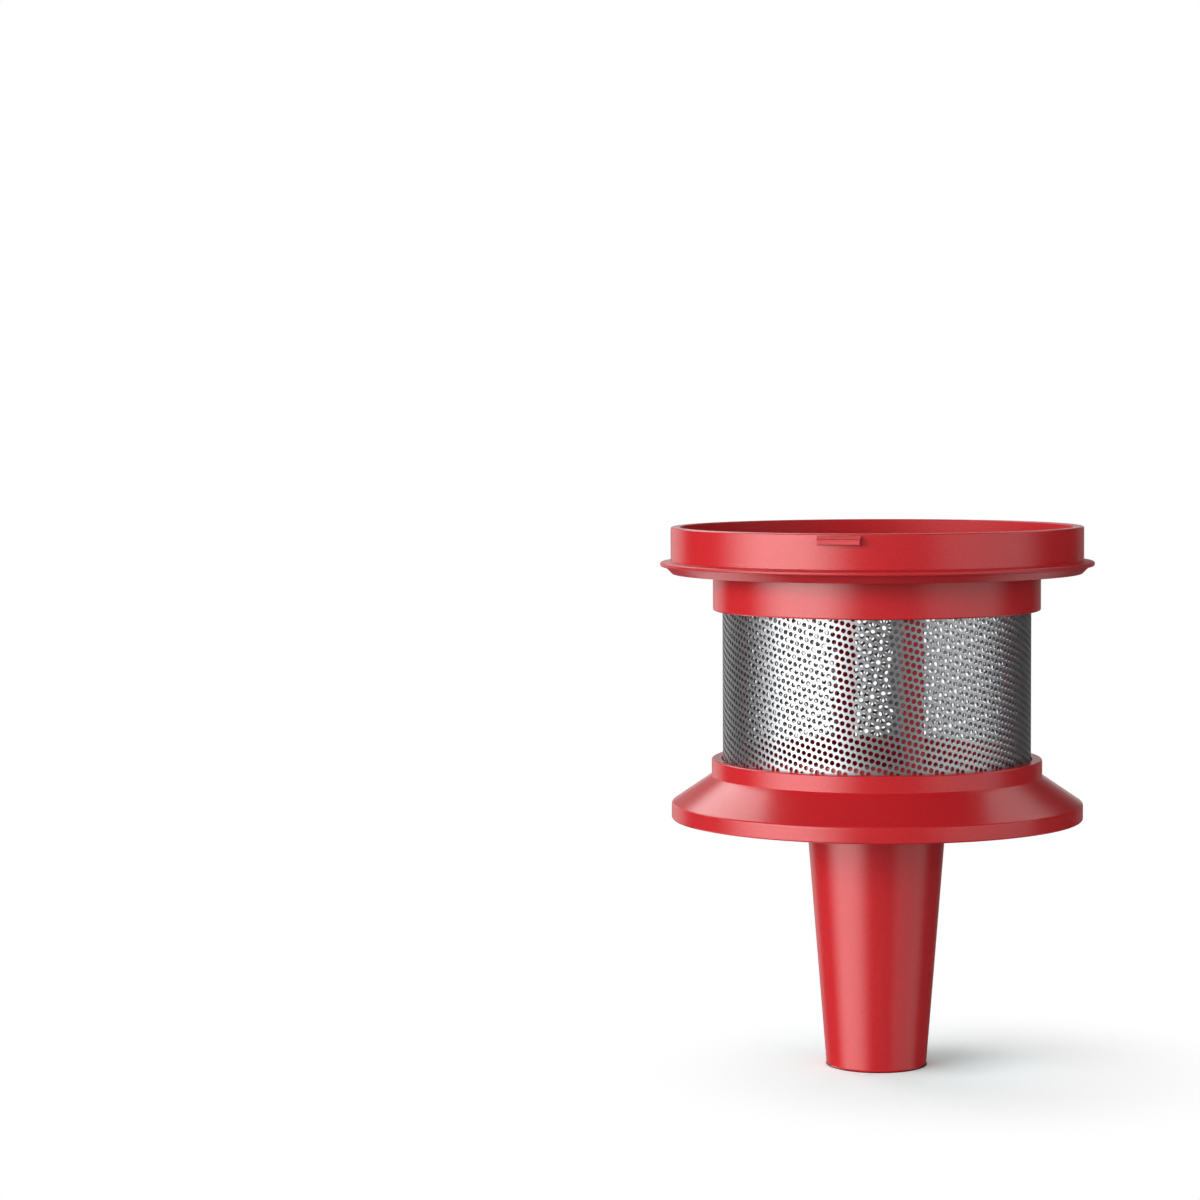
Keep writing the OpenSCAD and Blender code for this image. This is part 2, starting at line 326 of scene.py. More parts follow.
def perforated_sheet():
    """Geometry Nodes tree: cells with a punched hole and plain cells are laid on a slanted
    lattice, cut off at the edges of the sheet, thickened and rolled into a tube."""
    tree, entry, leave = new_group(
        "Perforated sheet", "GeometryNodeTree",
        [("Radius", "NodeSocketFloat", SCREEN_RADIUS),
         ("Thickness", "NodeSocketFloat", SHEET_THICKNESS),
         ("Low Edge", "NodeSocketFloat", SCREEN_FOOT),
         ("High Edge", "NodeSocketFloat", SCREEN_TOP),
         ("Plain Edge", "NodeSocketFloat", PLAIN_EDGE),
         ("Hole Diameter", "NodeSocketFloat", HOLE_DIAMETER),
         ("Hole Sides", "NodeSocketInt", HOLE_SIDES),
         ("Along Row", "NodeSocketVector", (*ALONG_ROW, 0)),
         ("To Next Row", "NodeSocketVector", (*TO_NEXT_ROW, 0)),
         ("Seam Width", "NodeSocketFloat", SEAM_WIDTH),
         ("Seam Gap", "NodeSocketFloat", SEAM_GAP),
         ("Seam Turn", "NodeSocketFloat", SEAM_TURN),
         ("Holes Along", "NodeSocketInt", 181),
         ("Rows", "NodeSocketInt", 71),
         ("Material", "NodeSocketMaterial", None)],
        [("Geometry", "NodeSocketGeometry")])
    size = entry.outputs
    position = add_node(tree, "GeometryNodeInputPosition")
    flat = add_node(tree, "ShaderNodeSeparateXYZ")
    join(tree, position.outputs[0], flat.inputs[0])
    around = calculate(tree, "MULTIPLY", size["Radius"], 2 * math.pi)
    half_length = calculate(tree, "MULTIPLY", calculate(tree, "SUBTRACT", around, size["Seam Gap"]), 0.5)
    height = calculate(tree, "SUBTRACT", size["High Edge"], size["Low Edge"])
    half_height = calculate(tree, "MULTIPLY", height, 0.5)
    middle = calculate(tree, "ADD", half_height, size["Low Edge"])

    # Cell with a hole and plain cell, with the slant of the lattice
    corner = add_node(tree, "GeometryNodeCurvePrimitiveQuadrilateral", mode="POINTS")
    for index, (columns, rows) in enumerate(((-0.5, 0.5), (0.5, 0.5), (0.5, -0.5), (-0.5, -0.5))):
        join(tree, lattice_step(tree, size, columns, rows), corner.inputs["Point " + str(index + 1)])
    circle = add_node(tree, "GeometryNodeCurvePrimitiveCircle")
    join(tree, size["Hole Sides"], circle.inputs["Resolution"])
    join(tree, calculate(tree, "MULTIPLY", size["Hole Diameter"], 0.5), circle.inputs["Radius"])
    outlines = add_node(tree, "GeometryNodeJoinGeometry")
    join(tree, corner.outputs[0], outlines.inputs[0])
    join(tree, circle.outputs["Curve"], outlines.inputs[0])
    punched_cell = add_node(tree, "GeometryNodeFillCurve")
    join(tree, outlines.outputs[0], punched_cell.inputs["Curve"])
    plain_cell = add_node(tree, "GeometryNodeFillCurve")
    join(tree, corner.outputs[0], plain_cell.inputs["Curve"])

    # Lattice of cells that touch the sheet, punched where a whole hole fits
    lattice = add_node(tree, "GeometryNodeMeshGrid")
    join(tree, size["Holes Along"], lattice.inputs["Vertices X"])
    join(tree, size["Rows"], lattice.inputs["Vertices Y"])
    join(tree, calculate(tree, "SUBTRACT", size["Holes Along"], 1), lattice.inputs["Size X"])
    join(tree, calculate(tree, "SUBTRACT", size["Rows"], 1), lattice.inputs["Size Y"])
    slanted = add_node(tree, "GeometryNodeSetPosition")
    join(tree, lattice.outputs["Mesh"], slanted.inputs["Geometry"])
    join(tree, lattice_step(tree, size, flat.outputs["X"], flat.outputs["Y"]), slanted.inputs["Position"])
    reach_x = calculate(tree, "ABSOLUTE", flat.outputs["X"])
    reach_y = calculate(tree, "ABSOLUTE", flat.outputs["Y"])
    off_x = calculate(tree, "GREATER_THAN", reach_x, calculate(tree, "ADD", half_length, CELL_REACH))
    off_y = calculate(tree, "GREATER_THAN", reach_y, calculate(tree, "ADD", half_height, CELL_REACH))
    touching = add_node(tree, "GeometryNodeDeleteGeometry", domain="POINT")
    join(tree, slanted.outputs[0], touching.inputs["Geometry"])
    join(tree, calculate(tree, "MAXIMUM", off_x, off_y), touching.inputs["Selection"])
    fits_x = calculate(tree, "LESS_THAN", reach_x, calculate(
        tree, "MULTIPLY_ADD", size["Seam Width"], -0.5, half_length))
    fits_y = calculate(tree, "LESS_THAN", reach_y, calculate(
        tree, "SUBTRACT", half_height, size["Plain Edge"]))
    punched = calculate(tree, "MULTIPLY", fits_x, fits_y)
    cells = add_node(tree, "GeometryNodeJoinGeometry")
    for cell, chosen in ((punched_cell, punched), (plain_cell, calculate(tree, "SUBTRACT", 1, punched))):
        placed = add_node(tree, "GeometryNodeInstanceOnPoints")
        join(tree, touching.outputs[0], placed.inputs["Points"])
        join(tree, chosen, placed.inputs["Selection"])
        join(tree, cell.outputs[0], placed.inputs["Instance"])
        join(tree, placed.outputs[0], cells.inputs[0])
    real_cells = add_node(tree, "GeometryNodeRealizeInstances")
    join(tree, cells.outputs[0], real_cells.inputs[0])

    # Edges of the sheet: what lies beyond them is drawn in and what became flat is removed
    drawn_in = add_node(tree, "ShaderNodeCombineXYZ")
    for axis, half in (("X", half_length), ("Y", half_height)):
        low = calculate(tree, "MAXIMUM", flat.outputs[axis], calculate(tree, "MULTIPLY", half, -1))
        join(tree, calculate(tree, "MINIMUM", low, half), drawn_in.inputs[axis])
    trimmed = add_node(tree, "GeometryNodeSetPosition")
    join(tree, real_cells.outputs[0], trimmed.inputs["Geometry"])
    join(tree, drawn_in.outputs[0], trimmed.inputs["Position"])
    area = add_node(tree, "GeometryNodeInputMeshFaceArea")
    empty = calculate(tree, "LESS_THAN", area.outputs[0], 1e-10)
    clean = add_node(tree, "GeometryNodeDeleteGeometry", domain="FACE")
    join(tree, trimmed.outputs[0], clean.inputs["Geometry"])
    join(tree, empty, clean.inputs["Selection"])
    sheet = add_node(tree, "GeometryNodeMergeByDistance")
    join(tree, clean.outputs[0], sheet.inputs["Geometry"])
    sheet.inputs["Distance"].default_value = 0.005 * MM

    # Thickness: the extruded skin and the turned-over first skin close the sheet
    extruded = add_node(tree, "GeometryNodeExtrudeMesh", mode="FACES")
    join(tree, sheet.outputs[0], extruded.inputs["Mesh"])
    extruded.inputs["Individual"].default_value = False
    join(tree, size["Thickness"], extruded.inputs["Offset Scale"])
    under = add_node(tree, "GeometryNodeFlipFaces")
    join(tree, sheet.outputs[0], under.inputs["Mesh"])
    both = add_node(tree, "GeometryNodeJoinGeometry")
    join(tree, extruded.outputs["Mesh"], both.inputs[0])
    join(tree, under.outputs[0], both.inputs[0])
    closed = add_node(tree, "GeometryNodeMergeByDistance")
    join(tree, both.outputs[0], closed.inputs["Geometry"])
    closed.inputs["Distance"].default_value = 0.002 * MM

    # Roll: the length of the sheet becomes the angle, and its thickness the distance from the axis
    turn = calculate(tree, "DIVIDE", flat.outputs["X"], size["Radius"])
    turn = calculate(tree, "ADD", turn, calculate(tree, "ADD", size["Seam Turn"], math.pi))
    skin_radius = calculate(tree, "SUBTRACT", size["Radius"], size["Thickness"])
    reach = calculate(tree, "ADD", skin_radius, flat.outputs["Z"])
    rolled_place = add_node(tree, "ShaderNodeCombineXYZ")
    join(tree, calculate(tree, "MULTIPLY", reach, calculate(tree, "COSINE", turn)), rolled_place.inputs["X"])
    join(tree, calculate(tree, "MULTIPLY", reach, calculate(tree, "SINE", turn)), rolled_place.inputs["Y"])
    join(tree, calculate(tree, "ADD", flat.outputs["Y"], middle), rolled_place.inputs["Z"])
    rolled = add_node(tree, "GeometryNodeSetPosition")
    join(tree, closed.outputs[0], rolled.inputs["Geometry"])
    join(tree, rolled_place.outputs[0], rolled.inputs["Position"])

    real = add_node(tree, "GeometryNodeRealizeInstances")
    join(tree, rolled.outputs[0], real.inputs[0])
    finished = add_node(tree, "GeometryNodeSetMaterial")
    join(tree, real.outputs[0], finished.inputs["Geometry"])
    join(tree, size["Material"], finished.inputs["Material"])
    join(tree, finished.outputs[0], leave.inputs["Geometry"])
    return tree


def grown(name, tree, **values):
    """Runs a Geometry Nodes tree once and returns its result as a plain mesh object."""
    holder = bpy.data.objects.new(name + "_holder", bpy.data.meshes.new(name + "_holder"))
    scene.collection.objects.link(holder)
    modifier = holder.modifiers.new(name, "NODES")
    modifier.node_group = tree
    for item in tree.interface.items_tree:
        if item.item_type == "SOCKET" and item.in_out == "INPUT" and item.name in values:
            modifier[item.identifier] = values[item.name]
    evaluated = holder.evaluated_get(bpy.context.evaluated_depsgraph_get())
    mesh = bpy.data.meshes.new_from_object(evaluated)
    mesh.name = name
    bpy.data.objects.remove(holder)
    piece = bpy.data.objects.new(name, mesh)
    scene.collection.objects.link(piece)
    return piece


def smooth_round_the_axis(piece):
    """Gives the two skins of a rolled sheet the normals of a true cylinder."""
    mesh = piece.data
    mesh.polygons.foreach_set("use_smooth", np.ones(len(mesh.polygons), bool))
    corner_vertex = np.empty(len(mesh.loops), int)
    mesh.loops.foreach_get("vertex_index", corner_vertex)
    points = np.empty(len(mesh.vertices) * 3)
    mesh.vertices.foreach_get("co", points)
    points = points.reshape(-1, 3)[corner_vertex]
    face_normals = np.empty(len(mesh.polygons) * 3)
    mesh.polygons.foreach_get("normal", face_normals)
    sides = np.empty(len(mesh.polygons), int)
    mesh.polygons.foreach_get("loop_total", sides)
    flat = np.repeat(face_normals.reshape(-1, 3), sides, axis=0)
    radial = points * (1, 1, 0)
    radial /= np.linalg.norm(radial, axis=1, keepdims=True)
    facing = np.sum(flat * radial, axis=1, keepdims=True)
    normals = np.where(np.abs(facing) > 0.9, radial * np.sign(facing), flat)
    mesh.normals_split_custom_set(normals.tolist())


sheet = grown("perforated_sheet", perforated_sheet(), Material=screen_steel)
smooth_round_the_axis(sheet)
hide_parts("screen")
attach(sheet, "root")


# Turned pieces

def outline_points(corners):
    """Points of a closed outline and the normals at both ends of each of its sides. A corner
    is (radius from the axis, height, fillet radius), and the solid lies on the left."""
    count = len(corners)
    places = [Vector(corner[:2]) for corner in corners]
    points = []
    sides = []
    for index, (radius, height, fillet) in enumerate(corners):
        here = places[index]
        before = (here - places[index - 1]).normalized()
        after = (places[(index + 1) % count] - here).normalized()
        normal_in = Vector((before.y, -before.x))
        normal_out = Vector((after.y, -after.x))
        bend = math.atan2(before.x * after.y - before.y * after.x, before.dot(after))
        if fillet == 0:
            points.append(here)
            sides.append((normal_out, normal_out))
            continue
        start = here - before * fillet * math.tan(abs(bend) / 2)
        side = math.copysign(1, bend)
        centre = start - normal_in * fillet * side
        normals = []
        for step in range(ARC_STEPS + 1):
            angle = bend * step / ARC_STEPS
            normals.append(Vector((normal_in.x * math.cos(angle) - normal_in.y * math.sin(angle),
                                   normal_in.x * math.sin(angle) + normal_in.y * math.cos(angle))))
        points.extend(centre + normal * fillet * side for normal in normals)
        sides.extend(zip(normals, normals[1:]))
        sides.append((normal_out, normal_out))
    return points, sides


def turned_mesh(name, corners):
    """Closed mesh of an outline turned round the axis."""
    points, sides = outline_points(corners)
    count = len(points)
    vertices = []
    for point in points:
        for step in range(TURN_STEPS):
            angle = 2 * math.pi * step / TURN_STEPS
            vertices.append((point.x * math.cos(angle), point.x * math.sin(angle), point.y))
    faces = []
    for row in range(count):
        low = row * TURN_STEPS
        high = (row + 1) % count * TURN_STEPS
        for step in range(TURN_STEPS):
            following = (step + 1) % TURN_STEPS
            faces.append((low + step, low + following, high + following, high + step))
    mesh = bpy.data.meshes.new(name)
    mesh.from_pydata(vertices, [], faces)
    return mesh


def shade_as_turned(mesh, corners):
    """Gives each face that lies on the turned outline the normals of the true round surface."""
    points, sides = outline_points(corners)
    starts = np.array(points)
    spans = np.roll(starts, -1, axis=0) - starts
    lengths = np.sum(spans ** 2, axis=1)
    first = np.array([side[0] for side in sides])
    last = np.array([side[1] for side in sides])
    polygons = len(mesh.polygons)
    centres = np.empty(polygons * 3)
    flats = np.empty(polygons * 3)
    sizes = np.empty(polygons, int)
    mesh.polygons.foreach_get("center", centres)
    mesh.polygons.foreach_get("normal", flats)
    mesh.polygons.foreach_get("loop_total", sizes)
    centres = centres.reshape(-1, 3)
    flats = flats.reshape(-1, 3)
    radii = np.hypot(centres[:, 0], centres[:, 1])
    flat_out = (centres[:, 0] * flats[:, 0] + centres[:, 1] * flats[:, 1]) / radii
    here = np.stack((radii, centres[:, 2]), axis=1)
    best = np.full(polygons, 0.03 * MM)
    chosen = np.full(polygons, -1)
    for index in range(len(starts)):
        share = np.clip(((here - starts[index]) @ spans[index]) / lengths[index], 0, 1)
        gap = np.linalg.norm(here - starts[index] - share[:, None] * spans[index], axis=1)
        middle = first[index] + last[index]
        middle = middle / np.linalg.norm(middle)
        agrees = flat_out * middle[0] + flats[:, 2] * middle[1] > 0.97
        nearer = agrees & (gap < best)
        best[nearer] = gap[nearer]
        chosen[nearer] = index
    corner_vertex = np.empty(len(mesh.loops), int)
    mesh.loops.foreach_get("vertex_index", corner_vertex)
    places = np.empty(len(mesh.vertices) * 3)
    mesh.vertices.foreach_get("co", places)
    places = places.reshape(-1, 3)[corner_vertex]
    side = np.repeat(chosen, sizes)
    normals = np.repeat(flats, sizes, axis=0)
    round_corner = side >= 0
    side = side[round_corner]
    places = places[round_corner]
    radii = np.hypot(places[:, 0], places[:, 1])
    here = np.stack((radii, places[:, 2]), axis=1)
    share = np.clip(np.sum((here - starts[side]) * spans[side], axis=1) / lengths[side], 0, 1)[:, None]
    slope = first[side] * (1 - share) + last[side] * share
    slope /= np.linalg.norm(slope, axis=1, keepdims=True)
    true = np.stack((slope[:, 0] * places[:, 0] / radii, slope[:, 0] * places[:, 1] / radii, slope[:, 1]), axis=1)
    normals[round_corner] = true
    mesh.polygons.foreach_set("use_smooth", np.ones(polygons, bool))
    mesh.normals_split_custom_set(normals.tolist())


def place_piece(name, mesh, node_name, material):
    """Puts a finished mesh in the scene in place of a CAD node."""
    mesh.materials.clear()
    mesh.materials.append(material)
    piece = bpy.data.objects.new(name, mesh)
    scene.collection.objects.link(piece)
    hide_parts(node_name)
    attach(piece, "root")
    return piece


def with_boolean(mesh, tool_mesh, operation):
    """Mesh joined with or cut by another one."""
    body = bpy.data.objects.new("body", mesh)
    tool = bpy.data.objects.new("tool", tool_mesh)
    for piece in (body, tool):
        scene.collection.objects.link(piece)
    modifier = body.modifiers.new("join", "BOOLEAN")
    modifier.operation = operation
    modifier.solver = "EXACT"
    modifier.object = tool
    result = bpy.data.meshes.new_from_object(body.evaluated_get(bpy.context.evaluated_depsgraph_get()))
    for piece in (body, tool):
        bpy.data.objects.remove(piece)
    return result


def snap_lugs():
    """Two opposite wedges with a ramp on top, a flat front and softened outer edges."""
    top = RIM_Z - EDGE
    front_top = top - LUG_RAMP
    foot = front_top - LUG_FACE
    inside = RING_RADIUS - RING_WALL / 2
    front = RING_RADIUS + LUG_OUT
    outline = ((inside, foot), (front, foot), (front, front_top), (RING_RADIUS, top), (inside, top))
    build = bmesh.new()
    for side in (-1, 1):
        ends = []
        for across in (-LUG_WIDTH / 2, LUG_WIDTH / 2):
            ends.append([build.verts.new((side * -across, side * out, height)) for out, height in outline])
        low, high = ends
        build.faces.new(low)
        build.faces.new(reversed(high))
        for index in range(len(outline)):
            following = (index + 1) % len(outline)
            build.faces.new((low[following], low[index], high[index], high[following]))
    bmesh.ops.recalc_face_normals(build, faces=build.faces)
    outer = [edge for edge in build.edges
             if all(abs(vertex.co.y) > RING_RADIUS + LUG_OUT / 2 for vertex in edge.verts)]
    bmesh.ops.bevel(build, geom=outer, offset=LUG_EDGE, segments=2, affect="EDGES", profile=0.5)
    mesh = bpy.data.meshes.new("lugs")
    build.to_mesh(mesh)
    build.free()
    return mesh


def screw_holes():
    """Cutter with a countersunk clear hole for each of the four screws."""
    rows = ((SCREW_HOLE, FLOOR_Z - MM), (SCREW_HOLE, FLOOR_TOP - SCREW_SINK),
            (SCREW_HOLE + SCREW_SINK, FLOOR_TOP), (SCREW_HOLE + SCREW_SINK, FLOOR_TOP + MM))
    steps = 32
    vertices = []
    faces = []
    for hole in range(4):
        middle = around_axis(SCREW_TURN + hole * math.pi / 2, SCREW_CIRCLE, 0)
        base = len(vertices)
        for radius, height in rows:
            for step in range(steps):
                angle = 2 * math.pi * step / steps
                vertices.append((middle.x + radius * math.cos(angle), middle.y + radius * math.sin(angle), height))
        for row in range(len(rows) - 1):
            for step in range(steps):
                following = (step + 1) % steps
                low = base + row * steps
                faces.append((low + step, low + following, low + steps + following, low + steps + step))
        faces.append([base + step for step in reversed(range(steps))])
        faces.append([base + (len(rows) - 1) * steps + step for step in range(steps)])
    mesh = bpy.data.meshes.new("screw_holes")
    mesh.from_pydata(vertices, [], faces)
    return mesh


CUP_RADIUS = RING_RADIUS - RING_WALL
SEAT_RADIUS = RING_RADIUS - SEAL_REBATE
GROOVE_RADIUS = SCREEN_RADIUS + FIT
CAGE_SEAT_RADIUS = CAGE_RADIUS + FIT
NECK_RADIUS = GROOVE_RADIUS + NECK_WALL

collar_outline = [
    (PASSAGE_RADIUS, FLOOR_TOP, EDGE),
    (PASSAGE_RADIUS, FLOOR_Z, EDGE),
    (CAGE_SEAT_RADIUS, FLOOR_Z, 0),
    (CAGE_SEAT_RADIUS, SCREEN_TOP, 0),
    (GROOVE_RADIUS, SCREEN_TOP, 0),
    (GROOVE_RADIUS, NECK_Z, EDGE),
    (NECK_RADIUS, NECK_Z, EDGE),
    (NECK_RADIUS, FLOOR_Z, EDGE),
    (SEAT_RADIUS, FLOOR_Z, 0),
    (SEAT_RADIUS, SEAL_TOP, 0),
    (RING_RADIUS, SEAL_TOP, 0),
    (RING_RADIUS, RIM_Z, EDGE),
    (CUP_RADIUS, RIM_Z, EDGE),
    (CUP_RADIUS, FLOOR_TOP, EDGE),
]
collar_mesh = turned_mesh("collar", collar_outline)
collar_mesh = with_boolean(collar_mesh, snap_lugs(), "UNION")
collar_mesh = with_boolean(collar_mesh, screw_holes(), "DIFFERENCE")
shade_as_turned(collar_mesh, collar_outline)
place_piece("collar_moulding", collar_mesh, "filter_collar", red_plastic)

LIP_Z = SEAL_TOP - LIP_DROP
seal_outline = [
    (SEAT_RADIUS, FLOOR_Z, 0),
    (RING_RADIUS - 0.3 * MM, FLOOR_Z, 0.25 * MM),
    (LIP_RADIUS - 1.2 * MM, LIP_Z - 0.1 * MM, 0.3 * MM),
    (LIP_RADIUS, LIP_Z, 0.42 * MM),
    (LIP_RADIUS, LIP_Z + LIP_THICKNESS, 0.42 * MM),
    (RING_RADIUS + 0.2 * MM, SEAL_TOP, 0.3 * MM),
    (SEAT_RADIUS, SEAL_TOP, 0),
]
seal_mesh = turned_mesh("seal", seal_outline)
shade_as_turned(seal_mesh, seal_outline)
place_piece("seal_ring", seal_mesh, "lip_seal", red_silicone)


def cone_radius(height):
    """Outer radius of the dust cone at a height."""
    return FOOT_RADIUS + (CONE_TOP_RADIUS - FOOT_RADIUS) * height / CONE_TOP


SOCKET_RADIUS = GROOVE_RADIUS + SOCKET_WALL
SOCKET_Z = SOCKET_TOP - SOCKET_HEIGHT
SLOPE_Z = SKIRT_Z + SKIRT_RIM
CAGE_FOOT_RADIUS = CAGE_RADIUS - CAGE_FOOT_WALL
SPIGOT_RADIUS = cone_radius(CONE_TOP) - CONE_WALL - FIT
SPIGOT_FOOT_RADIUS = cone_radius(SPIGOT_FOOT) - CONE_WALL - FIT
THROAT_RADIUS = SPIGOT_FOOT_RADIUS - SPIGOT_WALL
CONE_SEAT_RADIUS = cone_radius(CONE_TOP) + MM
OUTER_SLOPE = (SOCKET_Z - SLOPE_Z) / (SKIRT_RADIUS - SOCKET_RADIUS)
FUNNEL_SLOPE = (CAGE_Z - CONE_TOP) / (CAGE_FOOT_RADIUS - THROAT_RADIUS)
OUTER_UNDER = SKIRT_WALL * math.hypot(1, OUTER_SLOPE)
FUNNEL_UNDER = SKIRT_WALL * math.hypot(1, FUNNEL_SLOPE)
# Where the undersides of the slope and of the funnel meet
RIDGE_RADIUS = (SLOPE_Z - OUTER_UNDER + OUTER_SLOPE * SKIRT_RADIUS - CONE_TOP + FUNNEL_UNDER
                + FUNNEL_SLOPE * THROAT_RADIUS) / (OUTER_SLOPE + FUNNEL_SLOPE)

skirt_outline = [
    (THROAT_RADIUS, SPIGOT_FOOT, 0),
    (SPIGOT_FOOT_RADIUS, SPIGOT_FOOT, 0),
    (SPIGOT_RADIUS, CONE_TOP, 0),
    (CONE_SEAT_RADIUS, CONE_TOP, 0),
    (CONE_SEAT_RADIUS, CONE_TOP + FUNNEL_SLOPE * (CONE_SEAT_RADIUS - THROAT_RADIUS) - FUNNEL_UNDER, 0),
    (RIDGE_RADIUS, CONE_TOP + FUNNEL_SLOPE * (RIDGE_RADIUS - THROAT_RADIUS) - FUNNEL_UNDER, EDGE),
    (SKIRT_RADIUS - SKIRT_WALL, SLOPE_Z - OUTER_UNDER + OUTER_SLOPE * SKIRT_WALL, EDGE),
    (SKIRT_RADIUS - SKIRT_WALL, SKIRT_Z, EDGE),
    (SKIRT_RADIUS, SKIRT_Z, EDGE),
    (SKIRT_RADIUS, SLOPE_Z, 2 * EDGE),
    (SOCKET_RADIUS, SOCKET_Z, EDGE),
    (SOCKET_RADIUS, SOCKET_TOP, EDGE),
    (GROOVE_RADIUS, SOCKET_TOP, EDGE),
    (GROOVE_RADIUS, SCREEN_FOOT, 0),
    (CAGE_SEAT_RADIUS, SCREEN_FOOT, 0),
    (CAGE_SEAT_RADIUS, CAGE_Z, 0),
    (CAGE_FOOT_RADIUS, CAGE_Z, 0),
    (THROAT_RADIUS, CONE_TOP, EDGE),
]
skirt_mesh = turned_mesh("skirt_shape", skirt_outline)
shade_as_turned(skirt_mesh, skirt_outline)
place_piece("skirt_moulding", skirt_mesh, "skirt", red_plastic)

INNER_RADIUS = cone_radius(PLUG_DEPTH) - CONE_WALL
cone_outline = [
    (PLUG_RADIUS, FOOT_Z, EDGE),
    (FOOT_RADIUS, FOOT_Z, 1.5 * EDGE),
    (CONE_TOP_RADIUS, CONE_TOP, 0),
    (CONE_TOP_RADIUS - CONE_WALL, CONE_TOP, 0),
    (INNER_RADIUS, PLUG_DEPTH + INNER_RADIUS - PLUG_RADIUS, 0),
    (PLUG_RADIUS, PLUG_DEPTH, 0),
]
cone_mesh = turned_mesh("cone_shape", cone_outline)
shade_as_turned(cone_mesh, cone_outline)
place_piece("cone_tube", cone_mesh, "dust_cone", red_plastic)


# Finishes of the nodes that are seen as they were packed

for node_name, finish in (("screen_cage", red_plastic), ("collar_screws", screw_steel)):
    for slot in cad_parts[node_name].material_slots:
        slot.material = finish


# Camera, with the photograph's framing

FRAME_PX = 1200
FOCAL_PX = 3176
CAMERA_DISTANCE = 0.766
CAMERA_HEIGHT = 0.1584
CAMERA_TURN = math.radians(9.68)
LOOK_TURN = math.radians(14.66)
LOOK_DOWN = math.radians(3.41)
LOOK_ROLL = math.radians(-0.30)


def add_camera():
    """Camera whose aim keeps the filter at the lower right of the frame, as in the photograph."""
    data = bpy.data.cameras.new("Camera")
    data.sensor_width = 36
    data.lens = FOCAL_PX / FRAME_PX * data.sensor_width
    data.clip_start = 0.01
    data.clip_end = 50
    camera = bpy.data.objects.new("Camera", data)
    scene.collection.objects.link(camera)
    forward = Vector((-math.sin(LOOK_TURN) * math.cos(LOOK_DOWN),
                      math.cos(LOOK_TURN) * math.cos(LOOK_DOWN), -math.sin(LOOK_DOWN)))
    right = Vector((math.cos(LOOK_TURN), math.sin(LOOK_TURN), 0))
    up = right.cross(forward)
    right, up = (right * math.cos(LOOK_ROLL) + up * math.sin(LOOK_ROLL),
                 up * math.cos(LOOK_ROLL) - right * math.sin(LOOK_ROLL))
    turned = Matrix((right, up, -forward)).transposed().to_4x4()
    camera.matrix_world = Matrix.Translation(around_axis(CAMERA_TURN, CAMERA_DISTANCE, CAMERA_HEIGHT)) @ turned
    scene.camera = camera


add_camera()


# Studio: floor, soft lamps and a white background

def add_softbox(name, turn, distance, low, high, half_angle, radiance, aim=None,
                mirrored=True, matt=True):
    """Area lamp at an angle from the camera's side, level or aimed at a height on the axis."""
    data = bpy.data.lights.new(name, "AREA")
    data.shape = "RECTANGLE"
    data.size = 2 * distance * math.tan(math.radians(half_angle))
    data.size_y = high - low
    data.energy = radiance * math.pi * data.size * data.size_y
    lamp = bpy.data.objects.new(name, data)
    scene.collection.objects.link(lamp)
    lamp.location = around_axis(CAMERA_TURN + math.radians(turn), distance, (low + high) / 2)
    target = Vector((0, 0, lamp.location.z if aim is None else aim))
    lamp.rotation_euler = (target - lamp.location).to_track_quat("-Z", "Y").to_euler()
    lamp.visible_glossy = mirrored
    lamp.visible_diffuse = matt


# Veiled lamps, whose gloss isn't seen in the filter
add_softbox("Left softbox", -90, 1.1, 0.02, 0.36, 16, 0.7, mirrored=False)
add_softbox("High left softbox", -90, 1.0, 0.45, 0.85, 14, 1.3, aim=0.08, mirrored=False)
add_softbox("High front softbox", 36, 1.0, 0.45, 0.85, 14, 1.2, aim=0.08, mirrored=False)
add_softbox("Back left softbox", -150, 1.1, 0.02, 0.36, 16, 3.3, mirrored=False)
add_softbox("High back left softbox", -135, 1.0, 0.45, 0.85, 14, 2.5, aim=0.08, mirrored=False)
add_softbox("High back softbox", 180, 1.0, 0.45, 0.85, 14, 1.4, aim=0.08, mirrored=False)
# Pale wall that is only seen in gloss
add_softbox("Wall behind", -143, 1.2, 0.62, 2.05, 33, 3.25, matt=False)


